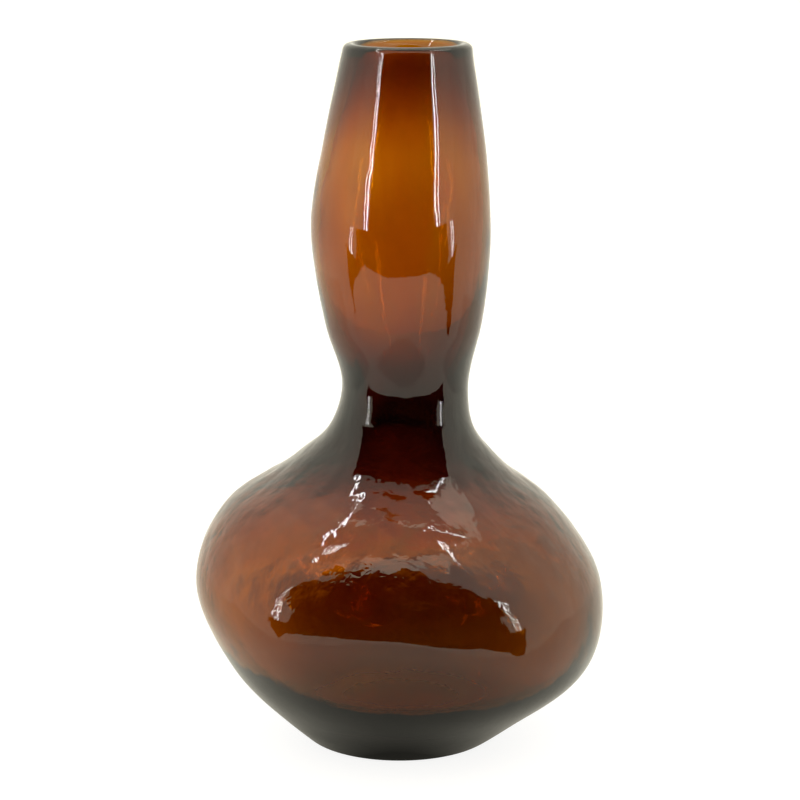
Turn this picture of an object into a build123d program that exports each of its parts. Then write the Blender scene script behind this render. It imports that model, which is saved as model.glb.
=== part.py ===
"""Hand-blown gourd vase in thick amber glass.

The vessel is two gathers of glass, one inside the other, with a pontil wad under the foot.
Sizes are in millimetres. The origin is on the table under the middle of the foot, with +Z up
and the vase's front towards -Y.
"""

import os

from build123d import *

# Heights between the level sections that set the outside shape, from the table up
foot_to_belly = 82.0
belly_to_waist = 100.0
waist_to_bulb = 80.0
bulb_to_rim = 94.0

# Outside diameters at those sections
foot_diameter = 96.0
belly_diameter = 208.0
waist_diameter = 64.0
bulb_diameter = 90.0
rim_diameter = 63.0

# How far the freely blown shape wanders to the right of the middle of the foot
belly_sway = -0.6
waist_sway = 2.8
bulb_sway = 0.7
rim_sway = 4.0
belly_slump = 5.8

# Thickness of the glass, square to its surface, and level across the lip
base_thickness = 19.0
lower_belly_wall = 4.4
belly_wall = 3.6
upper_belly_wall = 5.2
shoulder_wall = 9.0
collar_wall = 14.5
waist_wall = 11.0
throat_wall = 5.4
bulb_wall = 4.0
lip_wall = 7.4

# Height of the thick band under the rim, and the flat middle of the floor inside
lip_band_height = 17.0
floor_diameter = 70.0

# Share of the wall that the outer gather takes, and the flat on top of the fire-polished lip
outer_share = 0.6
lip_flat = 1.0

# Ground foot, with a hollow under it and the wad of glass left where the iron was cracked off
foot_chamfer = 0.8
kick_diameter = 62.0
kick_depth = 5.0
pontil_diameter = 26.0
pontil_lift = 1.6
pontil_round = 1.0

# Level circles that each round form is drawn through
circle_count = 32


def between(below, above, change, rise, slump=0.0):
    """Station at a share of the change in radius and of the height between two others."""
    radius = below[0] + change * (above[0] - below[0])
    centre = below[1] + rise * (above[1] - below[1]) + slump * belly_slump
    height = below[2] + rise * (above[2] - below[2])
    return radius, centre, height


# Stations of the outside: radius, centre to the right of the foot, height
foot = (foot_diameter / 2, 0.0, 0.0)
belly = (belly_diameter / 2, belly_sway, foot_to_belly)
waist = (waist_diameter / 2, waist_sway, belly[2] + belly_to_waist)
bulb = (bulb_diameter / 2, bulb_sway, waist[2] + waist_to_bulb)
rim = (rim_diameter / 2, rim_sway, bulb[2] + bulb_to_rim)
heel = between(foot, belly, 0.27, 0.15, slump=0.3)
lower_belly = between(foot, belly, 0.81, 0.51, slump=1.0)
upper_belly = between(belly, waist, 0.26, 0.38, slump=-1.0)
shoulder = between(belly, waist, 0.71, 0.63, slump=-0.6)
collar = between(belly, waist, 0.94, 0.81, slump=-0.2)
throat = between(waist, bulb, 0.57, 0.42)
neck = between(bulb, rim, 0.41, 0.53)
lip_band = lip_band_height / (rim[2] - neck[2])
lip_base = between(rim, neck, lip_band, lip_band)

# Thickness of the glass at each station between the heel and the rim
walls = {
    lower_belly: lower_belly_wall,
    belly: belly_wall,
    upper_belly: upper_belly_wall,
    shoulder: shoulder_wall,
    collar: collar_wall,
    waist: waist_wall,
    throat: throat_wall,
    bulb: bulb_wall,
    neck: bulb_wall,
    lip_base: lip_wall,
}

with BuildLine() as outside:
    Spline(foot, heel, *walls, rim)


def inside(share):
    """Curve of radius, centre and height that lies a share of the wall in from the outside."""
    stations = [(floor_diameter / 2, 0.0, share * base_thickness)]
    for station, wall in walls.items():
        radius, centre, height = station
        along = outside.edge() % outside.edge().param_at_point(station)
        depth = share * wall / (along.X**2 + along.Z**2) ** 0.5
        stations.append((radius - depth * along.Z, centre, height + depth * along.X))
    stations.append((rim[0] - share * lip_wall, rim[1], rim[2]))
    level = (1, 0, 0)
    upright = (0, 0, 1)
    with BuildLine() as curve:
        Spline(*stations, tangents=(level, upright), tangent_scalars=(1, 1))
    return curve.edge()


def gourd(curve):
    """Round form through level circles taken evenly along a curve of radius, centre and height."""
    with BuildPart() as form:
        for step in range(circle_count):
            radius, centre, height = curve @ (step / (circle_count - 1))
            with BuildSketch(Plane((centre, 0, height))):
                Circle(radius)
        loft()
    return form.part


def glass_between(outer, inner):
    """Solid glass between two round forms, closed by a flat ring on top of the lip."""
    outer_faces = outer.faces().sort_by(Axis.Z)
    inner_faces = inner.faces().sort_by(Axis.Z)
    lip_top = Face(outer_faces[-1].outer_wire(), [inner_faces[-1].outer_wire()])
    return Solid(Shell(outer_faces[:-1] + inner_faces[:-1] + [lip_top]))


body = gourd(outside.edge())
seam = gourd(inside(outer_share))
cavity = gourd(inside(1.0))

# The hollow under the foot is a shallow cap of a large sphere
kick_radius = (kick_diameter**2 / 4 + kick_depth**2) / (2 * kick_depth)
kick_centre = (0, 0, kick_depth - kick_radius)

# Outer gather: the casing, with the outside of the lip, the ground foot and the kick
with BuildPart() as outer_gather:
    add(glass_between(body, seam))
    lip_edges = outer_gather.edges().group_by(Axis.Z)[-1]
    fillet(lip_edges.sort_by(SortBy.LENGTH)[-1], outer_share * (lip_wall - lip_flat))
    chamfer(outer_gather.edges().group_by(Axis.Z)[0], foot_chamfer)
    with Locations(kick_centre):
        Sphere(kick_radius, mode=Mode.SUBTRACT)
outer_gather.part.label = "outer_gather"

# Inner gather: the first bubble, which lines the vessel and makes the inside of the lip
with BuildPart() as inner_gather:
    add(glass_between(seam, cavity))
    lip_edges = inner_gather.edges().group_by(Axis.Z)[-1]
    fillet(lip_edges.sort_by(SortBy.LENGTH)[0], (1 - outer_share) * (lip_wall - lip_flat))
inner_gather.part.label = "inner_gather"

# Pontil wad: a fire-polished disc of glass in the middle of the kick, clear of the table
with BuildPart() as pontil_wad:
    with BuildSketch(Plane.XY.offset(pontil_lift)):
        Circle(pontil_diameter / 2)
    extrude(amount=kick_depth)
    with Locations(kick_centre):
        Sphere(kick_radius, mode=Mode.INTERSECT)
    fillet(pontil_wad.edges().group_by(Axis.Z)[0], pontil_round)
pontil_wad.part.label = "pontil_wad"

os.makedirs("parts", exist_ok=True)
for piece in (outer_gather, inner_gather, pontil_wad):
    export_step(piece.part, f"parts/{piece.part.label}.step")
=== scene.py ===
"""Hand-blown gourd vase in thick amber glass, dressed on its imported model.

Sizes are in metres, in the frame of the CAD model: the table is at Z 0 and the front looks towards -Y.
"""

import math

import bpy
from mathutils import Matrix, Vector
from mathutils.geometry import interpolate_bezier


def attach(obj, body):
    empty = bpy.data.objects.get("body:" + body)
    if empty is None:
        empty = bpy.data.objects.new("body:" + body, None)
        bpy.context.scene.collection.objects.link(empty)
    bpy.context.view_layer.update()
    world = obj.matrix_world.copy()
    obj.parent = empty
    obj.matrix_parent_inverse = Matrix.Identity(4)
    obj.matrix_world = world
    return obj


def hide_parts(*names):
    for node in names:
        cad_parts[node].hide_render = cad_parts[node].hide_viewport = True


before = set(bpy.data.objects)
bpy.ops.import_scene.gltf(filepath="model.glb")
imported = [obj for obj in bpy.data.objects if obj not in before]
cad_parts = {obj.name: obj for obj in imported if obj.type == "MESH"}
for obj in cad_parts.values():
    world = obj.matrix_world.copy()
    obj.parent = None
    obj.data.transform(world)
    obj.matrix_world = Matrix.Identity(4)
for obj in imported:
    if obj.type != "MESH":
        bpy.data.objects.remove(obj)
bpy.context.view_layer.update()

# Rings that the outside passes through: radius, centre to the right of the foot's, height
FOOT = Vector((0.048, 0.0, 0.0))
BELLY = Vector((0.104, -0.0006, 0.082))
WAIST = Vector((0.032, 0.0028, 0.182))
BULB = Vector((0.045, 0.0007, 0.262))
RIM = Vector((0.0315, 0.004, 0.356))
BELLY_SLUMP = 0.0058

# Thickness of the glass from the lower belly up to the lip
LOWER_BELLY_WALL = 0.0044
BELLY_WALL = 0.0036
UPPER_BELLY_WALL = 0.0052
SHOULDER_WALL = 0.009
COLLAR_WALL = 0.0145
WAIST_WALL = 0.011
THROAT_WALL = 0.0054
BULB_WALL = 0.004
LIP_WALL = 0.0074
LIP_BAND_HEIGHT = 0.017
BASE_THICKNESS = 0.019
FLOOR_RADIUS = 0.035

# Fire-polished lip, ground foot, kick and pontil wad
OUTER_LIP_TURN = 0.0036
INNER_LIP_TURN = 0.0037
INNER_LIP_DROP = 0.009
LIP_STEPS = 6
FOOT_CHAMFER = 0.0006
KICK_RADIUS = 0.031
KICK_DEPTH = 0.005
WAD_RADIUS = 0.013
WAD_LIFT = 0.0016
WAD_ROUND = 0.001
WAD_EDGE_RISE = 0.0003
WAD_GAP = 0.0001

# Shares of a radius at which rings are drawn, and how far the rings that keep an edge crisp lie from it
FLOOR_SHARES = (0.1, 0.4, 0.75)
KICK_SHARES = (0.08, 0.25, 0.42, 0.6, 0.8, 0.97, 1.0)
WAD_SHARES = (0.12, 0.35, 0.6, 0.82)
WAD_EDGE_SHARE = 0.95
SEAT_SHARES = (1.0, 0.95, 0.6, 0.3, 0.1)
EDGE_GAP = 0.0006

# How finely the glass is drawn
COLUMNS = 112
WAD_COLUMNS = 48
OUTSIDE_SPACING = 0.0042
INSIDE_SPACING = 0.0075


# Lines of rings

def between(below, above, change, rise, slump=0.0):
    """Ring at a share of the change in radius and of the height between two others."""
    ring = below + rise * (above - below)
    ring.x = below.x + change * (above.x - below.x)
    ring.y += slump * BELLY_SLUMP
    return ring


def leans(rings, first=None, last=None):
    """Direction of a smooth line at each of its rings."""
    spans = [(after - before).length for before, after in zip(rings, rings[1:])]
    chords = [(after - before) / span for before, after, span in zip(rings, rings[1:], spans)]
    found = [first or chords[0]]
    for place in range(1, len(rings) - 1):
        near, far = spans[place - 1], spans[place]
        found.append((chords[place - 1] * far + chords[place] * near) / (near + far))
    found.append(last or chords[-1])
    return found


def smooth(rings, spacing, first=None, last=None):
    """Rings about one spacing apart on a smooth line through the given ones."""
    slopes = leans(rings, first, last)
    line = [rings[0]]
    for start, end, leaving, arriving in zip(rings, rings[1:], slopes, slopes[1:]):
        reach = (end - start).length / 3
        count = max(2, round(3 * reach / spacing) + 1)
        line += interpolate_bezier(start, start + leaving * reach, end - arriving * reach, end, count)[1:]
    return line


def quarter_turn(corner, turn, rise, steps):
    """Rings round a quarter of a circle or ellipse, from an upright wall to the level top of the lip."""
    rings = []
    for step in range(1, steps + 1):
        angle = math.pi / 2 * step / steps
        rings.append(corner + Vector((turn * (1 - math.cos(angle)), 0.0, rise * math.sin(angle))))
    return rings


def kick_height(radius):
    """Height of the hollow under the foot at a distance from its middle."""
    sphere = (KICK_RADIUS**2 + KICK_DEPTH**2) / (2 * KICK_DEPTH)
    return KICK_DEPTH - sphere + math.sqrt(sphere**2 - radius**2)


# Rings between the main ones, and then all rings of the outside with the walls from the lower belly up
HEEL = between(FOOT, BELLY, 0.27, 0.15, slump=0.3)
LOWER_BELLY = between(FOOT, BELLY, 0.81, 0.51, slump=1.0)
UPPER_BELLY = between(BELLY, WAIST, 0.26, 0.38, slump=-1.0)
SHOULDER = between(BELLY, WAIST, 0.71, 0.63, slump=-0.6)
COLLAR = between(BELLY, WAIST, 0.94, 0.81, slump=-0.2)
THROAT = between(WAIST, BULB, 0.57, 0.42)
NECK = between(BULB, RIM, 0.41, 0.53)
LIP_BAND = LIP_BAND_HEIGHT / (RIM.z - NECK.z)
LIP_BASE = between(RIM, NECK, LIP_BAND, LIP_BAND)
OUTSIDE = [
    FOOT,
    HEEL,
    LOWER_BELLY,
    BELLY,
    UPPER_BELLY,
    SHOULDER,
    COLLAR,
    WAIST,
    THROAT,
    BULB,
    NECK,
    LIP_BASE,
    RIM,
]
WALLS = [
    LOWER_BELLY_WALL,
    BELLY_WALL,
    UPPER_BELLY_WALL,
    SHOULDER_WALL,
    COLLAR_WALL,
    WAIST_WALL,
    THROAT_WALL,
    BULB_WALL,
    BULB_WALL,
    LIP_WALL,
]


def outside_rings():
    """Rings up the outside, from the chamfered foot to the start of the lip's turn."""
    line = smooth(OUTSIDE, OUTSIDE_SPACING)
    first = FOOT + Vector((FOOT_CHAMFER, 0.0, FOOT_CHAMFER))
    top = RIM.z - OUTER_LIP_TURN
    return [first] + [ring for ring in line[1:] if ring.z < top]


def inside_rings():
    """Rings down the inside, from the lip's inner turn to the middle of the floor."""
    rings = [Vector((FLOOR_RADIUS, 0.0, BASE_THICKNESS))]
    for ring, lean, wall in zip(OUTSIDE[2:-1], leans(OUTSIDE)[2:-1], WALLS):
        depth = wall / math.hypot(lean.x, lean.z)
        rings.append(ring + Vector((-depth * lean.z, 0.0, depth * lean.x)))
    top = RIM.z - INNER_LIP_DROP
    rings.append(Vector((RIM.x - LIP_WALL, RIM.y, top)))
    line = smooth(rings, INSIDE_SPACING, first=Vector((1, 0, 0)), last=Vector((0, 0, 1)))
    floor = [Vector((FLOOR_RADIUS * share, 0.0, BASE_THICKNESS)) for share in FLOOR_SHARES]
    return list(reversed(floor + line))


def kick_rings():
    """Rings under the foot, from the crown of the kick to the edge of the ground ring."""
    hollow = [Vector((KICK_RADIUS * share, 0.0, kick_height(KICK_RADIUS * share))) for share in KICK_SHARES]
    edge = FOOT.x - FOOT_CHAMFER
    radii = (KICK_RADIUS + EDGE_GAP, (KICK_RADIUS + edge) / 2, edge - EDGE_GAP, edge)
    return hollow + [Vector((radius, 0.0, 0.0)) for radius in radii]


def vessel_rings():
    """Rings of the whole wall of glass, up the outside, over the lip and down the inside."""
    outside = outside_rings()
    inside = inside_rings()
    shoulder_of_lip = Vector((outside[-1].x, RIM.y, RIM.z - OUTER_LIP_TURN))
    outer_turn = quarter_turn(shoulder_of_lip, -OUTER_LIP_TURN, OUTER_LIP_TURN, LIP_STEPS)
    inner_turn = quarter_turn(inside[0], INNER_LIP_TURN, INNER_LIP_DROP, LIP_STEPS)
    return kick_rings() + outside + outer_turn + list(reversed(inner_turn)) + inside


def wad_rings():
    """Rings of the pontil wad, from its broken underside to the kick that it is stuck in."""
    under = [Vector((WAD_RADIUS * share, 0.0, WAD_LIFT)) for share in WAD_SHARES]
    edge = [
        Vector((WAD_RADIUS * WAD_EDGE_SHARE, 0.0, WAD_LIFT + WAD_EDGE_RISE)),
        Vector((WAD_RADIUS, 0.0, WAD_LIFT + WAD_ROUND)),
    ]
    radii = [WAD_RADIUS * share for share in SEAT_SHARES]
    seat = [Vector((radius, 0.0, kick_height(radius) - WAD_GAP)) for radius in radii]
    return under + edge + seat


# Modelling

def pick(piece):
    """Makes a piece the only one selected, and the active one."""
    bpy.ops.object.select_all(action="DESELECT")
    piece.select_set(True)
    bpy.context.view_layer.objects.active = piece


def middle(ring):
    """Middle of a ring in the frame."""
    return Vector((ring.y, 0.0, ring.z))


def draw_round(name, rings, columns):
    """Closed round piece, drawn out ring by ring from a small disc and drawn shut at its last ring."""
    bpy.ops.object.select_all(action="DESELECT")
    start = rings[0]
    bpy.ops.mesh.primitive_circle_add(
        vertices=columns, radius=start.x, fill_type="TRIFAN", location=middle(start)
    )
    piece = bpy.context.object
    piece.name = name
    piece.data.name = name
    bpy.ops.object.transform_apply(location=True)
    bpy.ops.object.mode_set(mode="EDIT")
    bpy.ops.mesh.select_mode(type="EDGE")
    bpy.ops.mesh.select_all(action="SELECT")
    bpy.ops.mesh.region_to_loop()
    for before, after in zip(rings, rings[1:]):
        grow = after.x / before.x
        bpy.ops.mesh.extrude_edges_move(TRANSFORM_OT_translate={"value": middle(after) - middle(before)})
        bpy.ops.transform.resize(value=(grow, grow, 1.0), center_override=middle(after))
    bpy.ops.mesh.merge(type="CENTER")
    bpy.ops.mesh.select_all(action="SELECT")
    bpy.ops.mesh.normals_make_consistent(inside=False)
    bpy.ops.object.mode_set(mode="OBJECT")
    return piece


def apply_subdivision(piece):
    """Smooths a piece by one level of subdivision."""
    pick(piece)
    modifier = piece.modifiers.new("smoothing", "SUBSURF")
    modifier.levels = 1
    modifier.render_levels = 1
    bpy.ops.object.modifier_apply(modifier=modifier.name)
    bpy.ops.object.shade_smooth()


def ease(value, low, high):
    """Smooth rise from 0 at low to 1 at high."""
    share = min(1.0, max(0.0, (value - low) / (high - low)))
    return share * share * (3 - 2 * share)


def mark_band(piece, name, low, high, fade):
    """Marks the glass between two heights as a vertex group, which fades out above and below them."""
    band = piece.vertex_groups.new(name=name)
    for vertex in piece.data.vertices:
        height = vertex.co.z
        weight = ease(height, low - fade, low) * (1 - ease(height, high, high + fade))
        if weight > 0:
            band.add([vertex.index], weight, "REPLACE")


def apply_waves(piece, name, size, depth, band):
    """Uneven swells of a given size and depth, such as a blowpipe and a wet pad leave."""
    pick(piece)
    swell = bpy.data.textures.new(name, "CLOUDS")
    swell.noise_scale = size
    swell.noise_depth = 1
    modifier = piece.modifiers.new(name, "DISPLACE")
    modifier.texture = swell
    modifier.texture_coords = "LOCAL"
    modifier.vertex_group = band
    modifier.mid_level = 0.5
    modifier.strength = depth
    bpy.ops.object.modifier_apply(modifier=modifier.name)


# Glass

# Colour that the glass lets through, how strongly it takes the rest away, and how much it bends light
GLASS_COLOUR = (0.81, 0.695, 0.05, 1.0)
GLASS_STRENGTH = 850.0
GLASS_INDEX = 1.5

# Cords that the colour runs in, drawn out upwards
PALE_CORD = (1.0, 0.68, 0.34, 1.0)
DARK_CORD = (0.96, 0.60, 0.26, 1.0)
CORD_SCALE = 70.0
CORD_STRETCH = (1.0, 1.0, 0.16)
CORD_DETAIL = 3.0
CORD_WINDING = 0.6
CORD_SPREAD = (0.32, 0.68)

# Fine ripples, and smears where the polish is rubbed
RIPPLE_DETAIL = 2.0
SMEAR_SCALE = 24.0
SMEAR_DETAIL = 5.0
SMEAR_SPREAD = (0.45, 0.8)

# Finishes of the wall and of the broken wad: polished and rubbed roughness, scale and depth of ripples
WALL_FINISH = (0.004, 0.02, 160.0, 0.00006)
BROKEN_FINISH = (0.05, 0.25, 420.0, 0.0003)

# Height below which the foot was ground, and its roughness there
GROUND_TOP = 0.0003
GROUND_ROUGHNESS = 0.42

# Folds round the shoulder: their middle height, reach above and below, and strength
FOLD_HEIGHT = 0.125
FOLD_REACH = 0.05
FOLD_STRENGTH = 4.0


def add_place(nodes, links, axis):
    """Output that gives the place along one axis of the frame."""
    place = nodes.new("ShaderNodeTexCoord")
    parts = nodes.new("ShaderNodeSeparateXYZ")
    links.new(place.outputs["Object"], parts.inputs["Vector"])
    return parts.outputs[axis]


def build_blown_glass_group():
    """Node group of the cords, ripples and rubbed places of hand-blown glass."""
    group = bpy.data.node_groups.new("blown_glass", "ShaderNodeTree")
    face = group.interface
    for name in ("Pale cord", "Dark cord"):
        face.new_socket(name=name, in_out="INPUT", socket_type="NodeSocketColor")
    for name in ("Cord scale", "Ripple scale", "Polish", "Rub"):
        face.new_socket(name=name, in_out="INPUT", socket_type="NodeSocketFloat")
    face.new_socket(name="Tint", in_out="OUTPUT", socket_type="NodeSocketColor")
    for name in ("Ripple", "Finish"):
        face.new_socket(name=name, in_out="OUTPUT", socket_type="NodeSocketFloat")
    nodes, links = group.nodes, group.links
    entry = nodes.new("NodeGroupInput")
    out = nodes.new("NodeGroupOutput")
    place = nodes.new("ShaderNodeTexCoord")

    stretch = nodes.new("ShaderNodeMapping")
    stretch.inputs["Scale"].default_value = CORD_STRETCH
    links.new(place.outputs["Object"], stretch.inputs["Vector"])
    cords = nodes.new("ShaderNodeTexNoise")
    cords.inputs["Detail"].default_value = CORD_DETAIL
    cords.inputs["Distortion"].default_value = CORD_WINDING
    links.new(stretch.outputs["Vector"], cords.inputs["Vector"])
    links.new(entry.outputs["Cord scale"], cords.inputs["Scale"])
    spread = nodes.new("ShaderNodeMapRange")
    spread.inputs["From Min"].default_value = CORD_SPREAD[0]
    spread.inputs["From Max"].default_value = CORD_SPREAD[1]
    links.new(cords.outputs["Fac"], spread.inputs["Value"])
    tint = nodes.new("ShaderNodeMix")
    tint.data_type = "RGBA"
    links.new(spread.outputs["Result"], tint.inputs["Factor"])
    links.new(entry.outputs["Pale cord"], tint.inputs["A"])
    links.new(entry.outputs["Dark cord"], tint.inputs["B"])
    links.new(tint.outputs["Result"], out.inputs["Tint"])

    ripples = nodes.new("ShaderNodeTexNoise")
    ripples.inputs["Detail"].default_value = RIPPLE_DETAIL
    links.new(place.outputs["Object"], ripples.inputs["Vector"])
    links.new(entry.outputs["Ripple scale"], ripples.inputs["Scale"])
    height = nodes.new("ShaderNodeSeparateXYZ")
    links.new(place.outputs["Object"], height.inputs["Vector"])
    away = nodes.new("ShaderNodeMath")
    away.operation = "SUBTRACT"
    away.inputs[1].default_value = FOLD_HEIGHT
    links.new(height.outputs["Z"], away.inputs[0])
    apart = nodes.new("ShaderNodeMath")
    apart.operation = "ABSOLUTE"
    links.new(away.outputs["Value"], apart.inputs[0])
    folds = nodes.new("ShaderNodeMapRange")
    folds.interpolation_type = "SMOOTHSTEP"
    folds.inputs["From Min"].default_value = FOLD_REACH / 2
    folds.inputs["From Max"].default_value = FOLD_REACH
    folds.inputs["To Min"].default_value = FOLD_STRENGTH
    folds.inputs["To Max"].default_value = 1.0
    links.new(apart.outputs["Value"], folds.inputs["Value"])
    relief = nodes.new("ShaderNodeMath")
    relief.operation = "MULTIPLY"
    links.new(ripples.outputs["Fac"], relief.inputs[0])
    links.new(folds.outputs["Result"], relief.inputs[1])
    links.new(relief.outputs["Value"], out.inputs["Ripple"])

    smears = nodes.new("ShaderNodeTexNoise")
    smears.inputs["Scale"].default_value = SMEAR_SCALE
    smears.inputs["Detail"].default_value = SMEAR_DETAIL
    links.new(place.outputs["Object"], smears.inputs["Vector"])
    worn = nodes.new("ShaderNodeMapRange")
    worn.inputs["From Min"].default_value = SMEAR_SPREAD[0]
    worn.inputs["From Max"].default_value = SMEAR_SPREAD[1]
    links.new(smears.outputs["Fac"], worn.inputs["Value"])
    links.new(entry.outputs["Polish"], worn.inputs["To Min"])
    links.new(entry.outputs["Rub"], worn.inputs["To Max"])
    links.new(worn.outputs["Result"], out.inputs["Finish"])
    return group


BLOWN_GLASS = build_blown_glass_group()


def build_glass(name, polish, rub, ripple_scale, ripple_depth):
    """Amber glass with its own polish and ripples."""
    material = bpy.data.materials.new(name)
    material.use_nodes = True
    nodes, links = material.node_tree.nodes, material.node_tree.links
    glass = nodes["Principled BSDF"]
    glass.inputs["IOR"].default_value = GLASS_INDEX
    glass.inputs["Transmission Weight"].default_value = 1.0
    blown = nodes.new("ShaderNodeGroup")
    blown.node_tree = BLOWN_GLASS
    blown.inputs["Pale cord"].default_value = PALE_CORD
    blown.inputs["Dark cord"].default_value = DARK_CORD
    blown.inputs["Cord scale"].default_value = CORD_SCALE
    blown.inputs["Ripple scale"].default_value = ripple_scale
    blown.inputs["Polish"].default_value = polish
    blown.inputs["Rub"].default_value = rub
    links.new(blown.outputs["Tint"], glass.inputs["Base Color"])
    bump = nodes.new("ShaderNodeBump")
    bump.inputs["Strength"].default_value = 1.0
    bump.inputs["Distance"].default_value = ripple_depth
    links.new(blown.outputs["Ripple"], bump.inputs["Height"])
    links.new(bump.outputs["Normal"], glass.inputs["Normal"])
    body = nodes.new("ShaderNodeVolumeAbsorption")
    body.inputs["Color"].default_value = GLASS_COLOUR
    body.inputs["Density"].default_value = GLASS_STRENGTH
    links.new(body.outputs["Volume"], nodes["Material Output"].inputs["Volume"])
    links.new(blown.outputs["Finish"], glass.inputs["Roughness"])
    return material


def grind_foot(material, top, roughness):
    """Frosts the glass below a height, where the foot was ground flat."""
    nodes, links = material.node_tree.nodes, material.node_tree.links
    glass = nodes["Principled BSDF"]
    polished = glass.inputs["Roughness"].links[0].from_socket
    low = nodes.new("ShaderNodeMath")
    low.operation = "LESS_THAN"
    low.inputs[1].default_value = top
    links.new(add_place(nodes, links, "Z"), low.inputs[0])
    finish = nodes.new("ShaderNodeMix")
    finish.inputs["B"].default_value = roughness
    links.new(low.outputs["Value"], finish.inputs["Factor"])
    links.new(polished, finish.inputs["A"])
    links.new(finish.outputs["Result"], glass.inputs["Roughness"])


# Uneven bands of the wall: their low and high ends, and how far they fade out beyond them
BANDS = {
    "whole": (0.012, 0.345, 0.008),
    "shoulder": (0.105, 0.150, 0.025),
    "neck": (0.245, 0.300, 0.03),
}

# Waves in the bands: their size and depth
WAVES = (
    ("slow swells", 0.05, 0.0006, "whole"),
    ("pad marks", 0.018, 0.00022, "whole"),
    ("neck dents", 0.03, -0.0005, "neck"),
    ("shoulder folds", 0.011, 0.0006, "shoulder"),
)

# Broken face of the wad: its band, and the size and depth of the chips in it
BREAK_BAND = (WAD_LIFT - 0.001, WAD_LIFT + 0.0005, 0.0006)
CHIPS = (0.004, 0.0007)


def build_vessel():
    """The wall of glass that the two gathers were blown into."""
    vessel = draw_round("vessel", vessel_rings(), COLUMNS)
    apply_subdivision(vessel)
    for name, band in BANDS.items():
        mark_band(vessel, name, *band)
    for wave in WAVES:
        apply_waves(vessel, *wave)
    glass = build_glass("amber_glass", *WALL_FINISH)
    grind_foot(glass, GROUND_TOP, GROUND_ROUGHNESS)
    vessel.data.materials.append(glass)
    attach(vessel, "root")
    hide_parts("outer_gather", "inner_gather")


def build_wad():
    """The wad of glass left in the kick where the iron was cracked off."""
    wad = draw_round("pontil_wad_glass", wad_rings(), WAD_COLUMNS)
    apply_subdivision(wad)
    mark_band(wad, "break", *BREAK_BAND)
    apply_waves(wad, "chips", *CHIPS, "break")
    wad.data.materials.append(build_glass("broken_glass", *BROKEN_FINISH))
    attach(wad, "root")
    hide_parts("pontil_wad")


# Studio

CAMERA_PLACE = (0.00024, -1.3, 0.4652)
CAMERA_DIP = math.radians(12.55)
CAMERA_LENS = 118.17
CAMERA_SENSOR = 36.0

# Colours of the tent and of the backdrop's middle and sides, and how far from the middle these change over
TENT_COLOUR = (1.0, 0.96, 0.80, 1.0)
WHITE = (1.0, 1.0, 1.0, 1.0)
MIDDLE_COLOUR = (0.93, 0.9, 1.0, 1.0)
SIDE_COLOUR = (0.93, 1.2, 1.0, 1.0)
SIDE_SPREAD = (0.02, 0.14)

# Strengths of the lights
TENT_GLOW = 1.26
ROOF_GLOW = 0.95
FRAME_GLOW = 2.4
NECK_GLOW = 1.4
BACK_GLOW = 1.1
DARK_GLOW = 0.012
LAMP_GLOW = 26.0

# Floor that the camera sees
FLOOR_SIZE = 6.0
FLOOR_LEVEL = -0.0003
FLOOR_COLOUR = (0.25, 0.25, 0.25, 1.0)
FLOOR_GLOW = 0.86
FLOOR_ROUGHNESS = 0.9

# Table that the glass sees, the painted contact shadow round the foot in its mirror image, and the painted
# amber shadow behind the vase, where the light has come through the glass
TABLE_LEVEL = -0.0002
SHADOW_START = 0.053
SHADOW_REACH = 0.23
SHADOW_LIGHT = 0.014
SHADOW_RISE = 0.6
SHADOW_NARROWS = (1.5, 1.0, 1.0)
# Painted amber shadow of the vase on the table behind it: its middle, size, fully dark core and colour
AMBER_SHADOW_PLACE = (0.0, 0.22, 0.0)
AMBER_SHADOW_SIZE = (0.135, 0.28, 1.0)
AMBER_SHADOW_CORE = 0.3
AMBER_SHADOW_COLOUR = (0.12, 0.012, 0.002, 1.0)

# Backdrop and table are brighter on the left: left and right ends of the change, and the light there
BACKDROP_GRADE = (-0.3, 0.05, 1.9, 1.15)
TABLE_GRADE = (-0.12, 0.12, 1.5, 0.58)

# Depths of the upright cards, below 0 in front of the vase, the roof's height, and the gaps behind lamps
BACKDROP_DEPTH = 1.6
ROOM_DEPTH = -3.0
ARCH_DEPTH = -0.5
NECK_PANEL_DEPTH = -0.15
NECK_FLAG_DEPTH = -0.25
ROOF_HEIGHT = 0.80
LAMP_GAP = 0.01
NECK_LAMP_GAP = 0.002

# Dark arc round the waist: its height, inner and outer radius, degrees to each side and steps
FLAG_HEIGHT = 0.170
FLAG_INNER = 0.038
FLAG_OUTER = 0.0565
FLAG_TURN = 42
FLAG_STEPS = 8

# Outlines of level cards: across, and back from the vase
TABLE = ((-0.7, -0.38), (0.7, -0.38), (0.7, 0.6), (-0.7, 0.6))
MIRRORED_TABLE = (
    (-0.7, 0.05), (-0.204, -0.107), (-0.06, -0.37), (0.06, -0.37),
    (0.193, -0.13), (0.7, 0.05), (0.7, 0.6), (-0.7, 0.6),
)
SKYLIGHT = ((-0.225, 0.07), (0.40, 0.03), (0.54, -0.14), (0.25, -0.42), (-0.1, -0.50), (-0.88, -0.57))
ROOF_FRAME = (
    (-0.2, 0.24), (0.4, 0.24), (0.57, -0.14), (0.4, -0.6),
    (-0.92, -0.66), (-0.86, -0.56), (-0.22, 0.07),
)
ROOF_LAMPS = (
    ((-0.20, 0.10), (-0.175, 0.10), (-0.645, -0.47), (-0.67, -0.47)),
    ((0.17, -0.02), (0.45, -0.09), (0.45, -0.075), (0.17, -0.005)),
)

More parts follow.
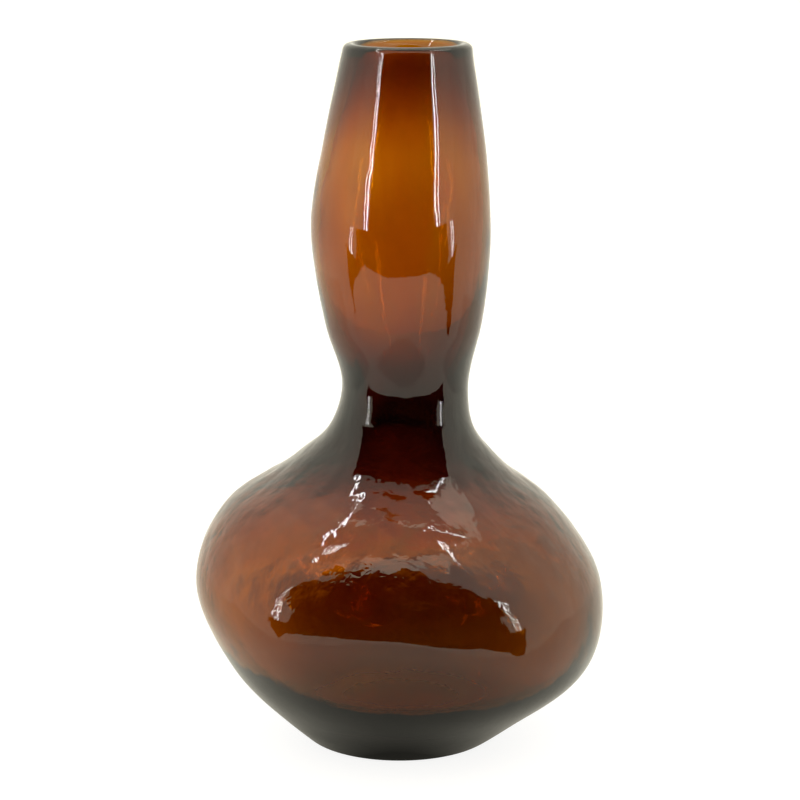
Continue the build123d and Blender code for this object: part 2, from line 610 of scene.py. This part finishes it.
# Outlines of upright cards: across, and up from the table
BACKDROP = ((-1.5, -0.4), (1.5, -0.4), (1.5, 1.6), (-1.5, 1.6))
MIRRORED_WALL = ((-4.0, -1.0), (4.0, -1.0), (4.0, 2.5), (-4.0, 2.5))
DARK_ROOM = (
    (0.0, -0.50), (3.0, -1.2), (6.4, -2.9), (10.5, -5.7), (10.5, 6.0),
    (-10.5, 6.0), (-10.5, -5.7), (-6.4, -2.5), (-3.0, -1.0),
)
NECK_FLAG = ((-0.38, 0.15), (0.38, 0.165), (0.38, 0.3), (-0.38, 0.3))

# Outlines of upright cards that stand on both sides: the tent's arched front, and panels and lamps
ARCH_TOP = ((0.0, 0.88), (0.0, 1.4), (2.0, 1.4), (2.0, -0.02), (0.90, -0.02))
LEFT_ARCH = ARCH_TOP + ((0.82, 0.10), (0.70, 0.30), (0.62, 0.46), (0.30, 0.66))
RIGHT_ARCH = ARCH_TOP + ((0.84, 0.10), (0.74, 0.28), (0.64, 0.40), (0.34, 0.57))
NECK_PANEL = ((0.114, 0.262), (0.45, 0.262), (0.45, 0.42), (0.114, 0.42))
NECK_LAMPS = (
    ((0.121, 0.262), (0.128, 0.262), (0.128, 0.42), (0.121, 0.42)),
    ((0.140, 0.262), (0.145, 0.262), (0.145, 0.42), (0.140, 0.42)),
)
FRONT_LAMPS = (
    ((1.08, -0.02), (1.115, -0.02), (0.915, 0.55), (0.88, 0.55)),
    ((1.22, -0.02), (1.25, -0.02), (1.05, 0.55), (1.02, 0.55)),
)


def build_camera():
    """Camera at the photograph's angle."""
    lens = bpy.data.cameras.new("camera")
    lens.lens = CAMERA_LENS
    lens.sensor_width = CAMERA_SENSOR
    camera = bpy.data.objects.new("camera", lens)
    camera.location = CAMERA_PLACE
    camera.rotation_euler = (math.pi / 2 - CAMERA_DIP, 0.0, 0.0)
    bpy.context.collection.objects.link(camera)
    bpy.context.scene.camera = camera


def build_tent():
    """Even, slightly warm light from all round."""
    scene = bpy.context.scene
    scene.view_settings.view_transform = "Standard"
    world = bpy.data.worlds.new("white_tent")
    scene.world = world
    world.use_nodes = True
    tent = world.node_tree.nodes["Background"]
    tent.inputs["Color"].default_value = TENT_COLOUR
    tent.inputs["Strength"].default_value = TENT_GLOW


def build_floor():
    """White floor, which the glass does not see."""
    bpy.ops.object.select_all(action="DESELECT")
    bpy.ops.mesh.primitive_plane_add(size=FLOOR_SIZE, location=(0.0, 0.0, FLOOR_LEVEL))
    floor = bpy.context.object
    floor.name = "floor"
    paper = bpy.data.materials.new("white_paper")
    paper.use_nodes = True
    sheet = paper.node_tree.nodes["Principled BSDF"]
    sheet.inputs["Base Color"].default_value = FLOOR_COLOUR
    sheet.inputs["Emission Color"].default_value = WHITE
    sheet.inputs["Emission Strength"].default_value = FLOOR_GLOW
    sheet.inputs["Roughness"].default_value = FLOOR_ROUGHNESS
    floor.data.materials.append(paper)
    floor.visible_glossy = False
    floor.visible_transmission = False


def build_glow(name, strength, colour=TENT_COLOUR):
    """Plain light of a given strength and colour."""
    material = bpy.data.materials.new(name)
    material.use_nodes = True
    nodes, links = material.node_tree.nodes, material.node_tree.links
    nodes.remove(nodes["Principled BSDF"])
    glow = nodes.new("ShaderNodeEmission")
    glow.inputs["Color"].default_value = colour
    glow.inputs["Strength"].default_value = strength
    links.new(glow.outputs["Emission"], nodes["Material Output"].inputs["Surface"])
    return material


def paint_contact_shadow(material):
    """Paints a contact shadow into the table's glow, which darkens towards the foot of the vase."""
    nodes, links = material.node_tree.nodes, material.node_tree.links
    place = nodes.new("ShaderNodeTexCoord")
    narrow = nodes.new("ShaderNodeVectorMath")
    narrow.operation = "MULTIPLY"
    narrow.inputs[1].default_value = SHADOW_NARROWS
    links.new(place.outputs["Object"], narrow.inputs[0])
    apart = nodes.new("ShaderNodeVectorMath")
    apart.operation = "LENGTH"
    links.new(narrow.outputs["Vector"], apart.inputs[0])
    contact = nodes.new("ShaderNodeMapRange")
    contact.inputs["From Min"].default_value = SHADOW_START
    contact.inputs["From Max"].default_value = SHADOW_REACH
    contact.inputs["To Min"].default_value = SHADOW_LIGHT
    links.new(apart.outputs["Value"], contact.inputs["Value"])
    rise = nodes.new("ShaderNodeMath")
    rise.operation = "POWER"
    rise.inputs[1].default_value = SHADOW_RISE
    links.new(contact.outputs["Result"], rise.inputs[0])
    links.new(rise.outputs["Value"], nodes["Emission"].inputs["Strength"])


def grade_across(material, left, right, left_light, right_light):
    """Changes a glow smoothly from one strength on the left to another on the right."""
    nodes, links = material.node_tree.nodes, material.node_tree.links
    light = nodes.new("ShaderNodeMapRange")
    light.interpolation_type = "SMOOTHSTEP"
    light.inputs["From Min"].default_value = left
    light.inputs["From Max"].default_value = right
    light.inputs["To Min"].default_value = left_light
    light.inputs["To Max"].default_value = right_light
    links.new(add_place(nodes, links, "X"), light.inputs["Value"])
    links.new(light.outputs["Result"], nodes["Emission"].inputs["Strength"])


def blend_glow(material, distance, near, far, near_colour, far_colour):
    """Turns a glow smoothly from one colour to another as a distance grows."""
    nodes, links = material.node_tree.nodes, material.node_tree.links
    fade = nodes.new("ShaderNodeMapRange")
    fade.interpolation_type = "SMOOTHSTEP"
    fade.inputs["From Min"].default_value = near
    fade.inputs["From Max"].default_value = far
    links.new(distance, fade.inputs["Value"])
    tint = nodes.new("ShaderNodeMix")
    tint.data_type = "RGBA"
    tint.inputs["A"].default_value = near_colour
    tint.inputs["B"].default_value = far_colour
    links.new(fade.outputs["Result"], tint.inputs["Factor"])
    links.new(tint.outputs["Result"], nodes["Emission"].inputs["Color"])


def paint_amber_shadow(material):
    """Paints the vase's amber shadow on the table behind it, where the light has come through the glass."""
    nodes, links = material.node_tree.nodes, material.node_tree.links
    place = nodes.new("ShaderNodeTexCoord")
    behind = nodes.new("ShaderNodeMapping")
    behind.vector_type = "TEXTURE"
    behind.inputs["Location"].default_value = AMBER_SHADOW_PLACE
    behind.inputs["Scale"].default_value = AMBER_SHADOW_SIZE
    links.new(place.outputs["Object"], behind.inputs["Vector"])
    spread = nodes.new("ShaderNodeVectorMath")
    spread.operation = "LENGTH"
    links.new(behind.outputs["Vector"], spread.inputs[0])
    blend_glow(material, spread.outputs["Value"], AMBER_SHADOW_CORE, 1.0, AMBER_SHADOW_COLOUR, SIDE_COLOUR)


def tint_sides(material):
    """Gives a glow one colour in the middle and another on both sides."""
    nodes, links = material.node_tree.nodes, material.node_tree.links
    apart = nodes.new("ShaderNodeMath")
    apart.operation = "ABSOLUTE"
    links.new(add_place(nodes, links, "X"), apart.inputs[0])
    blend_glow(material, apart.outputs["Value"], *SIDE_SPREAD, MIDDLE_COLOUR, SIDE_COLOUR)


def level(outline, height):
    """Corners of a level card."""
    return [(x, y, height) for x, y in outline]


def upright(outline, depth, side=1):
    """Corners of an upright card, turned over to the left where side is -1."""
    return [(side * x, depth, z) for x, z in outline]


def add_card(name, corners, material, mirrored=True, through=False):
    """Flat card of the studio, given by its corners, that shows only mirrored in the glass or through it."""
    bpy.ops.object.select_all(action="DESELECT")
    bpy.ops.mesh.primitive_circle_add(vertices=len(corners), fill_type="NGON")
    card = bpy.context.object
    card.name = name
    for vertex, corner in zip(card.data.vertices, corners):
        vertex.co = corner
    card.data.materials.append(material)
    card.visible_camera = False
    card.visible_diffuse = False
    card.visible_glossy = mirrored
    card.visible_transmission = through
    card.visible_volume_scatter = False
    card.visible_shadow = False


def build_surroundings():
    """Table and backdrop, as they mirror in the glass and as they show through it."""
    mirrored = build_glow("mirrored_table", 1.0)
    # Painted contact shadow round the foot, seen only in the glass's mirror image
    paint_contact_shadow(mirrored)
    add_card("mirrored_table", level(MIRRORED_TABLE, TABLE_LEVEL), mirrored)
    behind = build_glow("table_behind", 1.0, WHITE)
    grade_across(behind, *TABLE_GRADE)
    # Painted amber shadow of the vase, seen only through the glass
    paint_amber_shadow(behind)
    add_card("table_behind", level(TABLE, TABLE_LEVEL), behind, mirrored=False, through=True)
    backdrop = build_glow("backdrop", 1.0, WHITE)
    grade_across(backdrop, *BACKDROP_GRADE)
    tint_sides(backdrop)
    add_card("backdrop", upright(BACKDROP, BACKDROP_DEPTH), backdrop, mirrored=False, through=True)
    wall = build_glow("mirrored_wall", BACK_GLOW)
    add_card("mirrored_wall", upright(MIRRORED_WALL, BACKDROP_DEPTH), wall)


def waist_flag():
    """Outline of the arc round the waist's front that keeps the roof out of the collar's mirror image."""
    turns = [math.radians(FLAG_TURN * (2 * step / FLAG_STEPS - 1)) for step in range(FLAG_STEPS + 1)]
    rounds = [(FLAG_OUTER, turn) for turn in turns] + [(FLAG_INNER, turn) for turn in reversed(turns)]
    return [(WAIST.y + reach * math.sin(turn), -reach * math.cos(turn)) for reach, turn in rounds]


def build_cards():
    """Dark room, arched front, flags, neck panels, roof and thin lamps of the light tent."""
    dark = build_glow("dark_room", DARK_GLOW)
    panel = build_glow("tent_panel", TENT_GLOW)
    roof = build_glow("roof_panel", ROOF_GLOW)
    bright = build_glow("roof_frame", FRAME_GLOW)
    beside = build_glow("neck_panel", NECK_GLOW)
    lamp = build_glow("lamp", LAMP_GLOW, WHITE)

    add_card("dark_room", upright(DARK_ROOM, ROOM_DEPTH), dark)
    add_card("waist_flag", level(waist_flag(), FLAG_HEIGHT), dark)
    add_card("neck_flag", upright(NECK_FLAG, NECK_FLAG_DEPTH), dark)
    add_card("roof_frame", level(ROOF_FRAME, ROOF_HEIGHT + LAMP_GAP), bright)
    add_card("roof", level(SKYLIGHT, ROOF_HEIGHT), roof)
    for strip in ROOF_LAMPS:
        add_card("roof_lamp", level(strip, ROOF_HEIGHT - LAMP_GAP), lamp, through=True)

    for side, arch in ((-1, LEFT_ARCH), (1, RIGHT_ARCH)):
        add_card("tent_front", upright(arch, ARCH_DEPTH, side), panel)
        add_card("neck_panel", upright(NECK_PANEL, NECK_PANEL_DEPTH, side), beside)
        for strip in NECK_LAMPS:
            add_card("neck_lamp", upright(strip, NECK_PANEL_DEPTH + NECK_LAMP_GAP, side), lamp, through=True)
        for strip in FRONT_LAMPS:
            add_card("front_lamp", upright(strip, ARCH_DEPTH + LAMP_GAP, side), lamp, through=True)


build_camera()
build_tent()
build_floor()
build_surroundings()
build_cards()
build_vessel()
build_wad()
